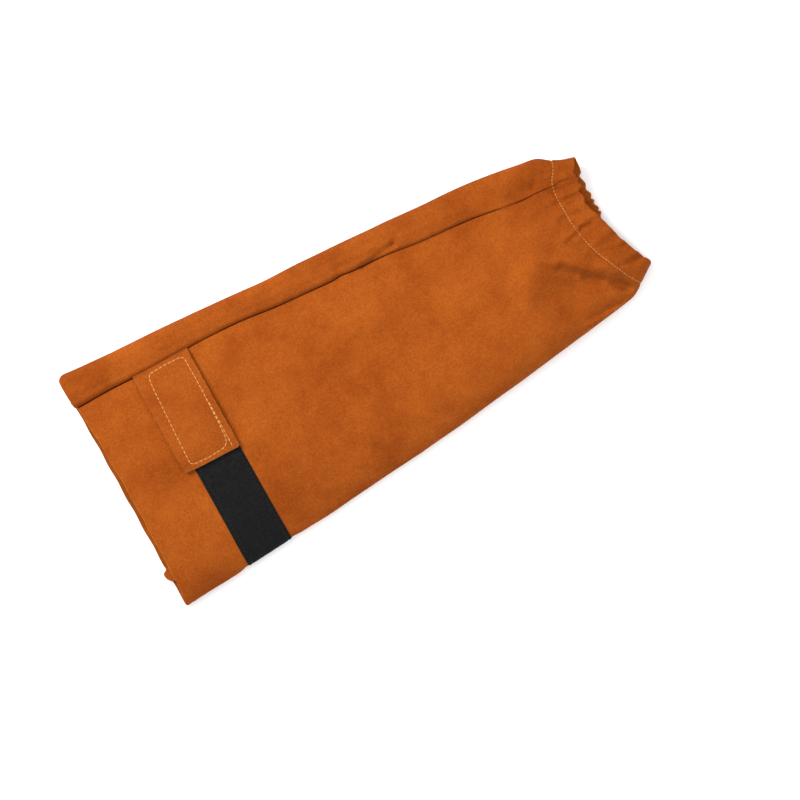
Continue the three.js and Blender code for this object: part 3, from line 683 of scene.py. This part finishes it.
suede_back = split_leather("split_leather_suede_back", 0x823C0E, 0x8E4513, 0x974C16)
back_outer, back_inner = lay_panel(stations, back_sections, back_set_back)
back_materials = [suede_back, cut_edge, inner_side]
back = sheet_mesh("suede_back_panel", back_outer, back_inner, back_materials, raw_rows=1)
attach(back, "root")
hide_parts("back_panel")


# Loop band: black woven tape with a pile of fine loops, sewn across the front panel from
# under the tab, round the near edge and a little way onto the underside.
def tape_material(name, ground, pile, pitch):
    """Woven nylon tape: fine rows of loops or hooks, which look black with a faint grey bloom"""
    material, tree, shader = start_material(name)
    place = put(tree, "TexCoord").outputs["Object"]
    # a wave's period is 0.314 over its scale
    wave = {"Vector": place, "Scale": 0.314 * per_mm(pitch), "Distortion": 1.5}
    wave.update({"Detail": 2, "Detail Scale": 2})
    rows = put(tree, "TexWave", wave, bands_direction="X").outputs["Fac"]
    lines = put(tree, "TexWave", wave, bands_direction="Y").outputs["Fac"]
    weave = put(tree, "Math", {0: rows, 1: lines}, operation="MULTIPLY")
    fuzz = noise(tree, place, 2.2, 6, 0.8)
    cloth = put(tree, "Mix", {0: 0.6, 2: weave.outputs[0], 3: fuzz})
    colour = ramp(tree, cloth.outputs[0], [(0.26, linear(ground)), (0.5, linear(pile))])
    tree.links.new(colour, shader.inputs["Base Color"])
    bump = put(tree, "Bump", {"Height": cloth.outputs[0], "Strength": 0.6, "Distance": 0.0004})
    tree.links.new(bump.outputs["Normal"], shader.inputs["Normal"])
    shader.inputs["Roughness"].default_value = 0.85
    shader.inputs["Specular IOR Level"].default_value = 0.08
    shader.inputs["Sheen Weight"].default_value = 0.02
    shader.inputs["Sheen Roughness"].default_value = 0.5
    return material


BAND_STITCH_IN = 3.4  # band's edge to its stitching


def tape_depth(width, edge):
    """Thickness of tape across its width: a thin selvedge, and a dip where it is sewn down"""
    aside = np.minimum(edge, width - edge)
    dip = 0.35 * np.exp(-(((aside - BAND_STITCH_IN) / 0.7) ** 2))
    return TAPE * mix(0.4, 1, smooth(aside / 1.8)) - dip


# rows of loops lie about 1.3 mm apart
loop_tape = tape_material("woven_loop_tape", 0x010101, 0x1B1B1B, 1.3)
across = np.arange(0, BAND_WIDTH + 0.01, 0.6)
band_x = BAND_FROM + across
laid, _ = lay_panel(band_x, front_sections, lambda around: 0 * around)
# it follows the leather from 7 mm off the ridge seam to where the leather rises again below
y, _, _, under, stack, _, _, pull, _, _ = front_sections(band_x)[:, len(band_x) // 2]
crease = section(BAND_FROM + BAND_WIDTH / 2)["crease"][0]
kept = (stack == 0) & (y < crease - 7) & ((under == 0) | (pull > 0.999))
laid = laid[:, kept]
# its mouth-side edge is bowed by a millimetre
bow = np.sin(np.pi * np.linspace(0.1, 1, laid.shape[1])) ** 2
laid[..., 0] = band_x[:, None] + bow[None, :] * (1 - across / BAND_WIDTH)[:, None]
face_y, face_z = outline_facing(laid[..., 1], laid[..., 2])
facing = np.stack([0 * face_y, face_y, face_z], axis=2)
band_outer = laid + facing * (TAPE_GAP + tape_depth(BAND_WIDTH, across))[:, None, None]
band = sheet_mesh("loop_band_tape", band_outer, laid + facing * 0.02, [loop_tape])
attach(band, "root")
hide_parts("loop_band")


# Hook patch: black woven tape with stiff hooks, sewn under the strap tab, where it grips
# the loops of the band.
def strip(x, distance, thick, lift):
    """A strip over the front panel, at distances from the ridge seam, its underside lifted"""
    s = section(x)
    v = np.maximum(distance, 0) / (s["crease"] - s["near"])
    y = s["crease"] - distance
    z = np.broadcast_to(top_height(s, v) + lift(distance), y.shape)
    face_y, face_z = outline_facing(y, z)
    inner = np.stack([np.broadcast_to(x[:, None], y.shape), y, z], axis=2)
    return inner + np.stack([0 * y, face_y, face_z], axis=2) * thick, inner


TAB_FROM = 52.2  # mouth edge to the strap tab
TAB_WIDTH = 50.0
TAB_LENGTH = 90.0  # ridge seam to the tab's free end
PATCH_WIDTH = 40
PATCH_START, PATCH_END = 4.5, TAB_LENGTH - 2.5  # from the ridge seam
PATCH_LIFT = 2 * CLEARANCE + 1.2  # over the front panel: the band and two gaps
# rows of hooks lie about 1.6 mm apart
hook_tape = tape_material("woven_hook_tape", 0x050505, 0x1A1A1B, 1.6)
patch_x = TAB_FROM + 6 + np.linspace(0, PATCH_WIDTH, 30)
patch_run = np.linspace(PATCH_START, PATCH_END, 50)[None, :]
outer, inner = strip(patch_x, patch_run, TAPE, lambda distance: PATCH_LIFT)
patch = sheet_mesh("hook_patch_tape", outer, inner, [hook_tape])
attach(patch, "root")
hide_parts("hook_patch")


# Strap tab: a cut strap of the same suede, caught in the ridge seam at its root and pressed
# onto the loop band. Its edges are raw and its free corners barely rounded.
def tab_lift(distance):
    """Height of the tab's underside over the front panel: it rises from its root to the tapes"""
    return CLEARANCE + 3.0 * smooth((distance + 0.5) / 4.5)


suede_tab = split_leather("split_leather_suede_tab", 0x813C0F, 0x8C4413, 0x944B16)
t = np.linspace(0, 1, 44)
tab_x = TAB_FROM + TAB_WIDTH * mix(t, smooth(t), 0.6)
t = np.linspace(0, 1, 88)
distance = mix(-1, TAB_LENGTH, mix(t, 1 - (1 - t) ** 1.6, 0.5))[None, :]
outer, inner = strip(tab_x, distance, LEATHER, tab_lift)
share = ((tab_x - tab_x[0]) / TAB_WIDTH)[:, None]
# the free end is cut a little aslant, its corners are rounded and its edges wander
end_slope = (share - 0.5) * 1.4 * smooth((distance - 60) / 30)
corner = np.clip(1 - (TAB_LENGTH - distance) / 2.0, 0, 1)
tuck_in = 2.0 * (1 - np.sqrt(1 - corner**2)) * (1 - 2 * share)
ragged = 0.25 * np.sin(distance / 1.9) * np.sin(distance / 5.3) * (2 * share - 1)
wave = 0.35 * (1 + np.sin(distance / 9 + 2.2 * share)) * smooth(distance / 12)
# along its stitching the leather is drawn down: two long rows, and one at the free end
SEWN_MOUTH_SIDE, SEWN_CUFF_SIDE, SEWN_END, SEWN_DEEP = 9, 43, 85.5, 0.4
across_tab = share * TAB_WIDTH
sewn = np.exp(-(((across_tab - SEWN_MOUTH_SIDE) / 1.4) ** 2))
sewn = sewn + np.exp(-(((across_tab - SEWN_CUFF_SIDE) / 1.6) ** 2))
sewn = sewn + np.exp(-(((distance - SEWN_END) / 1.4) ** 2))
for surface, dip in ((outer, SEWN_DEEP), (inner, 0.0)):
    surface[..., 0] += tuck_in + ragged
    surface[..., 1] -= end_slope
    surface[..., 2] += wave - dip * sewn * smooth((distance - 3) / 3)
# the cut at its end leans back, so that its paler fibres show from above
outer[..., 1] += 0.8 * smooth((distance - TAB_LENGTH + 1.2) / 1.2)
tab_outer = outer
tab = sheet_mesh("suede_strap_tab", outer, inner, [suede_tab, cut_edge])
bevel = tab.modifiers.new("worn_edges", "BEVEL")
bevel.width = 0.0005
bevel.segments = 2
bevel.limit_method = "ANGLE"
bevel.angle_limit = math.radians(60)
bevel.material = 1
bpy.ops.object.modifier_apply(modifier=bevel.name)
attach(tab, "root")
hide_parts("strap_tab")


# Stitching: polyester thread in lockstitches, 4 mm long on the tab and drawn shorter where
# the hem is gathered; cream on the leather, black along the edges of the loop band.
def thread(name, deep, body):
    """Twisted polyester thread: smooth plies, which give each stitch a faint stripe and gloss"""
    material, tree, shader = start_material(name)
    place = put(tree, "TexCoord").outputs["Object"]
    ply = put(tree, "TexNoise", {"Vector": place, "Scale": per_mm(0.7), "Detail": 2})
    colour = ramp(tree, ply.outputs["Fac"], [(0.35, linear(deep)), (0.6, linear(body))])
    tree.links.new(colour, shader.inputs["Base Color"])
    shader.inputs["Roughness"].default_value = 0.6
    shader.inputs["Specular IOR Level"].default_value = 0.3
    return material


def sew(name, points, material, pitch=4.0, stitch=3.6, wide=0.85):
    """A row of stitches: one is shaped, and its copies lie end to end along the line"""
    points = np.asarray(points, float)
    run = np.concatenate([[0], np.cumsum(np.linalg.norm(np.diff(points, axis=0), axis=1))])
    at = np.linspace(0, run[-1], max(int(run[-1] / pitch), 1) + 1)
    line = np.stack([np.interp(at, run, points[:, k]) for k in range(3)], axis=1)
    bpy.ops.object.select_all(action="DESELECT")
    bpy.ops.mesh.primitive_uv_sphere_add(
        segments=8, ring_count=7, radius=0.5, rotation=(0, math.pi / 2, 0)
    )
    one = bpy.context.object
    bpy.ops.object.transform_apply(location=False, rotation=True, scale=False)
    # a stitch is 0.6 mm high, stands a little proud and dips into the leather at its ends
    shape = np.array([v.co for v in one.data.vertices]) * [stitch, wide, 0.6]
    shape[:, 2] += 0.12 - 0.35 * (shape[:, 0] / stitch * 2) ** 4
    faces = [list(p.vertices) for p in one.data.polygons]
    places, all_faces = [], []
    for k, (a, b) in enumerate(zip(line[:-1], line[1:])):
        ahead = (b - a) / np.linalg.norm(b - a)
        aside = np.cross([0, 0, 1], ahead)
        aside = aside / max(np.linalg.norm(aside), 1e-6)
        turned = np.stack([ahead, aside, np.cross(ahead, aside)])
        places.append((a + b) / 2 + shape @ turned)
        all_faces += [[i + k * len(shape) for i in face] for face in faces]
    mesh = bpy.data.meshes.new(name)
    mesh.from_pydata(((np.concatenate(places) + [shift_x, 0, 0]) / 1000).tolist(), [], all_faces)
    mesh.materials.append(material)
    bpy.data.objects.remove(one)
    row = bpy.data.objects.new(name, mesh)
    scene.collection.objects.link(row)
    row.select_set(True)
    bpy.context.view_layer.objects.active = row
    bpy.ops.object.shade_smooth()
    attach(row, "root")
    return row


cream_thread = thread("cream_polyester_thread", 0xA66A30, 0xC28A4C)
black_thread = thread("black_polyester_thread", 0x010101, 0x0A0A0A)


def on_tab(x, distance):
    """The top of the tab at a place, in millimetres"""
    row = tab_outer[int(round(np.interp(x, tab_outer[:, 40, 0], np.arange(len(tab_outer)))))]
    y = section(x)["crease"][0] - distance
    return [x, y, np.interp(-y, -row[:, 1], row[:, 2])]


def tab_line(corners):
    """A line on the tab through corners, each a place along the sleeve and off the ridge seam"""
    line = []
    for (x0, d0), (x1, d1) in zip(corners[:-1], corners[1:]):
        line += [on_tab(mix(x0, x1, k), mix(d0, d1, k)) for k in np.linspace(0, 1, 24)]
    return line


rectangle = [(65.9, 3.8), (80, 3.4), (94.6, 4.2), (96.7, 6.5), (96.9, 25), (96.8, 40), (96, 66)]
rectangle += [(94.9, 81), (93, 84.4), (90, 85.8), (75, 86.4), (60.6, 85.2), (59.9, 84), (61.5, 45)]
rectangle += [(62.9, 16), (63.9, 6.5), (65.9, 3.8)]
sew("tab_stitching", tab_line(rectangle), cream_thread)
sew("tab_second_row", tab_line([(97, 47), (96.9, 66), (96.7, 88)]), cream_thread)

# The hem's row runs round the cuff on both panels, short of the seams
hem_row = int(np.argmin(abs(stations - (LENGTH - HEM_DEPTH))))
hem_stitch = {"pitch": 2.9, "stitch": 2.4, "wide": 0.65}
sew("cuff_front_stitching", front_outer[hem_row, 4:-12], cream_thread, **hem_stitch)
sew("cuff_back_stitching", back_outer[hem_row, 12:-12], cream_thread, **hem_stitch)

band_rows = {
    "band_mouth_stitching": BAND_STITCH_IN,
    "band_cuff_stitching": BAND_WIDTH - BAND_STITCH_IN,
}
for name, place in band_rows.items():
    row = int(np.argmin(abs(across - place)))
    sew(name, band_outer[row, 1:-1], black_thread, pitch=3.6, stitch=2.9, wide=0.6)
